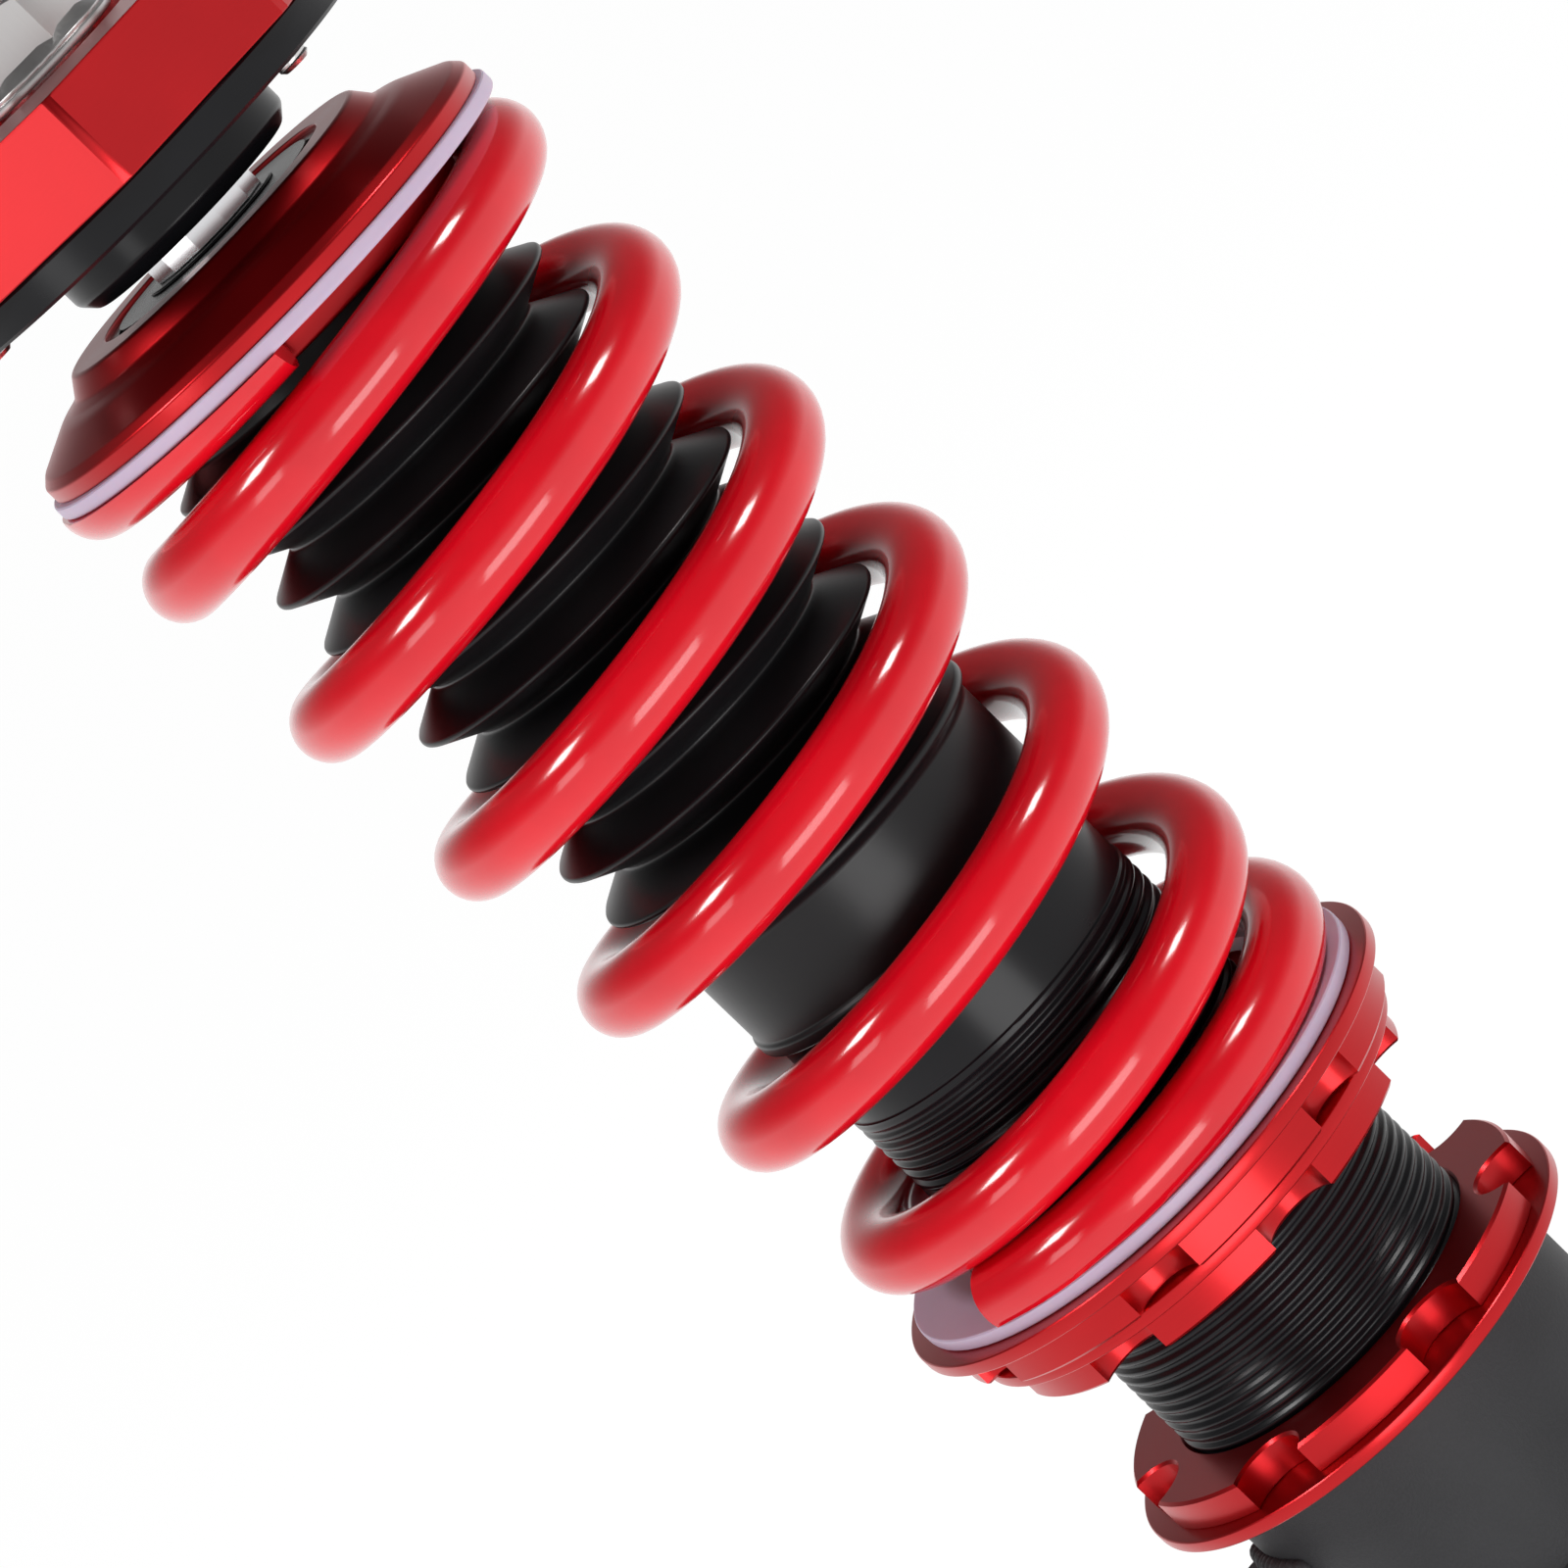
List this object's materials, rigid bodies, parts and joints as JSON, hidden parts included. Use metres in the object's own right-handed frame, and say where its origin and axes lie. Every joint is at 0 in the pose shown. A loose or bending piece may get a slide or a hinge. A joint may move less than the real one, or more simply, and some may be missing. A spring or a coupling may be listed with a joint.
{
  "type": "coilover",
  "caption": "Height-adjustable coilover: a monotube damper in a coil spring, with threaded spring perch and lock rings, pillow-ball top mount and knuckle bracket.",
  "frame": {"origin": "on the strut's axis, in the upper face of the octagonal top mount, at the centre of the tower studs' circle", "axes": "+Z along the strut's axis, up out of the top mount's face towards the vehicle's tower; +Y towards the knuckle bracket's ears; +X along the knuckle bolts"},
  "size_m": [0.0968, 0.1085, 0.4048],
  "materials": {
    "spring_red": "gloss",
    "anodised_red": "satin anodised",
    "black_metal": "satin",
    "textured_black": "matt powder coat",
    "zinc_steel": "satin zinc",
    "chrome_steel": "polished",
    "nylon": "satin",
    "rubber": "satin",
    "foam": "matt foam",
    "black_plastic": "satin",
    "brass_cage": "machined",
    "alloy": "machined"
  },
  "bodies": {
    "bracket": {"lower_sleeve": "textured_black", "sleeve_plug": "textured_black", "knuckle_bracket": "textured_black", "brake_hose_tab": "textured_black"},
    "body_lock": {"body_lock_ring": "anodised_red"},
    "shock": {"shock_body": "black_metal", "end_cap": "black_metal", "gas_plug": "zinc_steel", "rod_guide": "alloy", "rod_seal": "rubber", "wiper_seal": "rubber", "gland_nut": "alloy", "lower_gasket": "nylon", "spring": "spring_red", "dust_boot": "rubber"},
    "perch": {"spring_perch": "anodised_red"},
    "perch_lock": {"perch_lock_ring": "anodised_red"},
    "gas_piston": {"floating_piston": "alloy", "separator_ring": "rubber"},
    "rod": {"piston_rod": "chrome_steel", "piston": "alloy", "piston_band": "black_plastic", "rebound_shims": "zinc_steel", "compression_shims": "zinc_steel", "piston_nut": "zinc_steel", "topout_bumper": "rubber", "bump_stop": "foam", "bump_cup": "black_metal", "thrust_washer": "black_metal", "bearing_upper_race": "black_metal", "rod_spacer": "chrome_steel", "top_washer": "zinc_steel", "top_nut": "zinc_steel"},
    "seat_cage": {"bearing_cage": "brass_cage", "bearing_balls": "chrome_steel"},
    "seat": {"upper_seat": "anodised_red", "bearing_lower_race": "zinc_steel", "seat_circlip": "black_metal", "upper_gasket": "nylon"},
    "ball": {"pillow_ball": "chrome_steel"},
    "mount": {"mount_body": "anodised_red", "base_plate": "black_metal", "base_screws": "zinc_steel", "mount_studs": "zinc_steel", "bearing_race": "zinc_steel", "retainer_ring": "black_metal"},
    "knob": {"adjuster_knob": "black_plastic"},
    "needle": {"adjuster_needle": "zinc_steel"}
  },
  "joints": [
    {"name": "body_height", "type": "slide", "parent": "bracket", "child": "shock", "axis": [0, 0, 1], "range_m": [0, 0.04]},
    {"name": "body_lock_lift", "type": "slide", "parent": "bracket", "child": "body_lock", "axis": [0, 0, 1], "range_m": [0, 0.01]},
    {"name": "perch_turn", "type": "hinge", "parent": "shock", "child": "perch", "pos_m": [0, 0, -0.2179], "axis": [0, 0, 1], "range_deg": [-180, 180]},
    {"name": "perch_lock_drop", "type": "slide", "parent": "shock", "child": "perch_lock", "axis": [0, 0, 1], "range_m": [-0.01, 0]},
    {"name": "rod_slide", "type": "slide", "parent": "shock", "child": "rod", "axis": [0, 0, 1], "range_m": [-0.055, 0], "stiffness_N_per_m": 78500, "springref_m": 0.0126, "deforming": ["spring", "dust_boot"]},
    {"name": "gas_piston_slide", "type": "slide", "parent": "shock", "child": "gas_piston", "axis": [0, 0, 1], "range_m": [-0.0055, 0.0001]},
    {"name": "seat_turn", "type": "hinge", "parent": "rod", "child": "seat", "pos_m": [0, 0, -0.035], "axis": [0, 0, 1], "range_deg": [-45, 45]},
    {"name": "seat_cage_turn", "type": "hinge", "parent": "rod", "child": "seat_cage", "pos_m": [0, 0, -0.035], "axis": [0, 0, 1], "range_deg": [-23, 23]},
    {"name": "mount_swivel", "type": "hinge", "parent": "rod", "child": "ball", "pos_m": [0, 0, -0.0118], "axis": [0, 0, 1], "range_deg": [-45, 45]},
    {"name": "mount_tilt", "type": "hinge", "parent": "ball", "child": "mount", "pos_m": [0, 0, -0.0118], "axis": [1, 0, 0], "range_deg": [-8, 8]},
    {"name": "adjuster_turn", "type": "hinge", "parent": "rod", "child": "knob", "pos_m": [0, 0, 0.028], "axis": [0, 0, 1], "range_deg": [-5, 725]},
    {"name": "needle_slide", "type": "slide", "parent": "rod", "child": "needle", "axis": [0, 0, 1], "range_m": [-0.0014, 0]}
  ],
  "couplings": [
    {"joint": "gas_piston_slide", "follows": "rod_slide", "ratio": 0.0926},
    {"joint": "seat_cage_turn", "follows": "seat_turn", "ratio": 0.5},
    {"joint": "adjuster_turn", "follows": "needle_slide", "rad_per_m": -8976}
  ]
}
